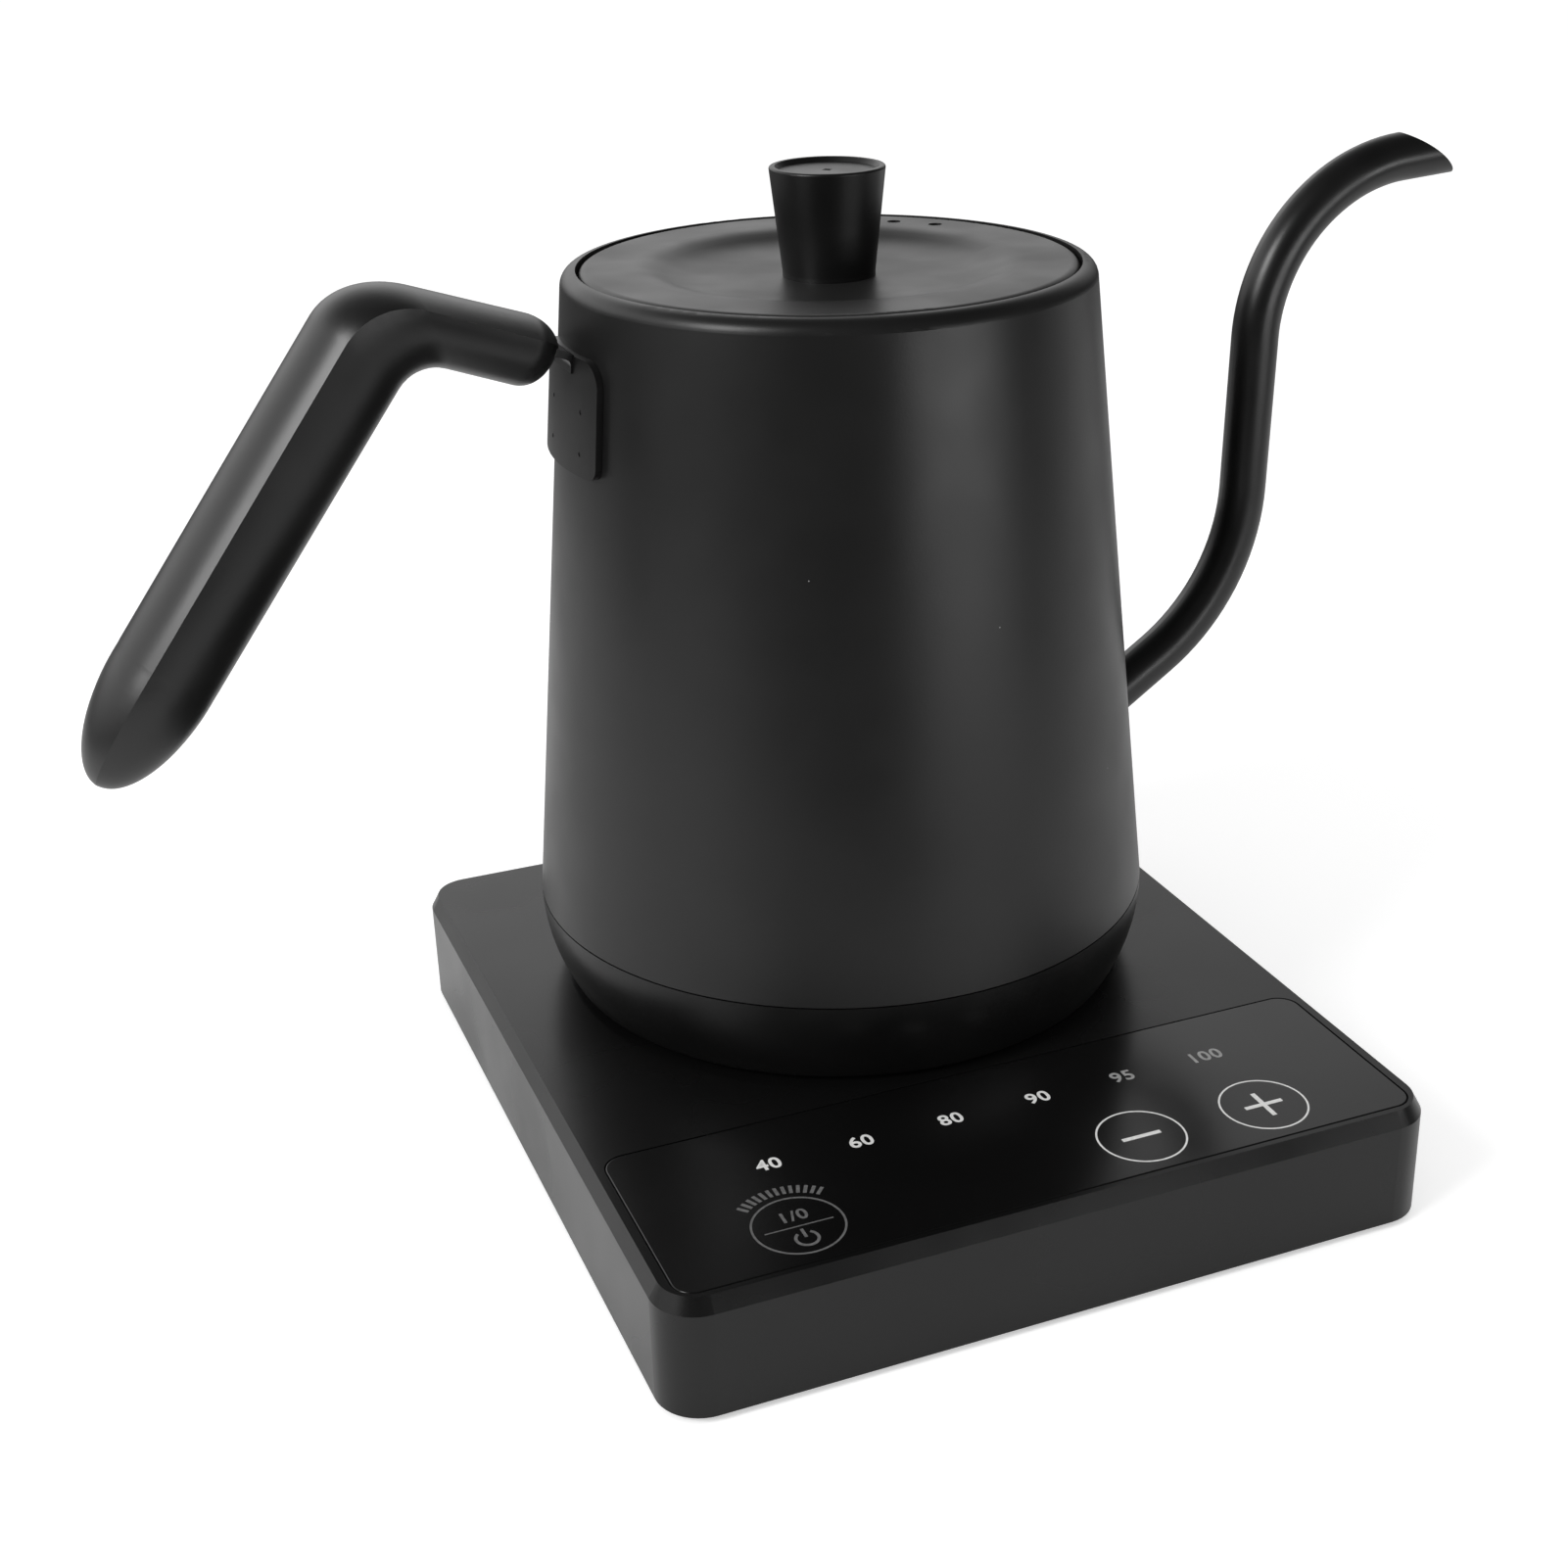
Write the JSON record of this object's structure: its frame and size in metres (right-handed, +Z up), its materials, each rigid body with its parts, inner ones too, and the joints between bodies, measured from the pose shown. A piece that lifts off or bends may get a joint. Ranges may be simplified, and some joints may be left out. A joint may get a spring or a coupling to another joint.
{
  "type": "electric kettle",
  "caption": "Gooseneck electric kettle with a tapered steel jug, lift-off lid and open grip, standing on a flat power base with a touch panel.",
  "frame": {"origin": "under the middle of the whole kettle, from the grip's end to the spout's lip, in the plane the rubber feet stand on", "axes": "+Z up; -Y is the front with the touch panel; the grip points to -X and the spout to +X"},
  "size_m": [0.3001, 0.181, 0.1963],
  "materials": {
    "aluminium": "plain",
    "board_green": "fibreglass board",
    "brass": "plated contact metal",
    "ceramic": "ceramic bead and nickel pin",
    "clear_lid_plate": "satin inside",
    "clear_plastic": "white light guide",
    "component_black": "moulded case",
    "component_blue": "sleeved can",
    "component_yellow": "tape or foil case",
    "cover_plastic": "fine spark-eroded texture",
    "fuse_sleeve": "ceramic tube",
    "grip_plastic": "soft satin black",
    "heat_resin": "heat-proof resin",
    "housing_plastic": "satin black",
    "knob_plastic": "satin black",
    "lid_coat": "satin black coating on stainless steel",
    "panel_gloss": "satin black overlay",
    "rubber_black": "matt",
    "screw_steel": "zinc plated",
    "shell_coat": "matt black coating on stainless steel",
    "silicone_black": "smooth silicone",
    "skirt_plastic": "satin black",
    "steel_bright": "satin inside",
    "wire_pvc": "insulated wire"
  },
  "bodies": {
    "base": {"base_housing": "housing_plastic", "touch_panel": "panel_gloss", "base_bottom_cover": "cover_plastic", "rubber_feet": "rubber_black", "base_screws": "screw_steel", "base_connector_body": "heat_resin", "base_contact_centre": "brass", "base_contact_inner": "brass", "base_contact_outer": "brass", "connector_screws": "screw_steel", "cord_gland": "rubber_black", "power_board": "board_green", "board_screws": "screw_steel", "relay": "component_black", "transformer": "component_yellow", "film_capacitor": "component_yellow", "electrolytic_capacitors": "component_blue", "fuse": "fuse_sleeve", "terminal_block": "component_black", "buzzer": "component_black", "supply_wires": "wire_pvc", "connector_wires": "wire_pvc", "touch_board": "board_green", "touch_board_screws": "screw_steel", "touch_springs": "screw_steel", "light_box": "clear_plastic", "indicator_leds": "clear_plastic", "display_module": "component_black", "ribbon_cable": "wire_pvc"},
    "jug_connector": {"contact_carrier": "heat_resin", "contact_ring_outer": "brass", "contact_ring_inner": "brass", "centre_pin": "brass"},
    "jug": {"jug_shell": "shell_coat", "jug_floor": "steel_bright", "heat_spreader": "aluminium", "heating_element": "aluminium", "element_terminals": "ceramic", "temperature_probe": "steel_bright", "probe_seal": "silicone_black", "boil_dry_cutouts": "ceramic", "jug_connector_housing": "heat_resin", "connector_studs": "screw_steel", "jug_wires": "wire_pvc", "jug_skirt": "skirt_plastic", "jug_bottom_cover": "cover_plastic", "jug_cover_screws": "screw_steel", "spout_tube": "shell_coat", "handle_bracket": "shell_coat", "handle_grip": "grip_plastic", "handle_core": "steel_bright", "handle_rivets": "screw_steel"},
    "lid_seal": {"lid_seal": "silicone_black"},
    "lid": {"lid_disc": "lid_coat", "lid_inner_skirt": "heat_resin", "lid_inner_plate": "clear_lid_plate", "lid_knob": "knob_plastic", "knob_cap": "knob_plastic", "knob_screw": "screw_steel", "knob_washer": "silicone_black"}
  },
  "joints": [
    {"name": "jug_lift", "type": "slide", "parent": "base", "child": "jug_connector", "axis": [0, 0, 1], "range_m": [0, 0.12]},
    {"name": "jug_turn", "type": "hinge", "parent": "jug_connector", "child": "jug", "pos_m": [0.0036, 0.0227, 0.0388], "axis": [0, 0, 1], "continuous": true},
    {"name": "lid_lift", "type": "slide", "parent": "jug", "child": "lid_seal", "axis": [0, 0, 1], "range_m": [0, 0.07]},
    {"name": "lid_turn", "type": "hinge", "parent": "lid_seal", "child": "lid", "pos_m": [0.0036, 0.0227, 0.1703], "axis": [0, 0, 1], "continuous": true}
  ]
}
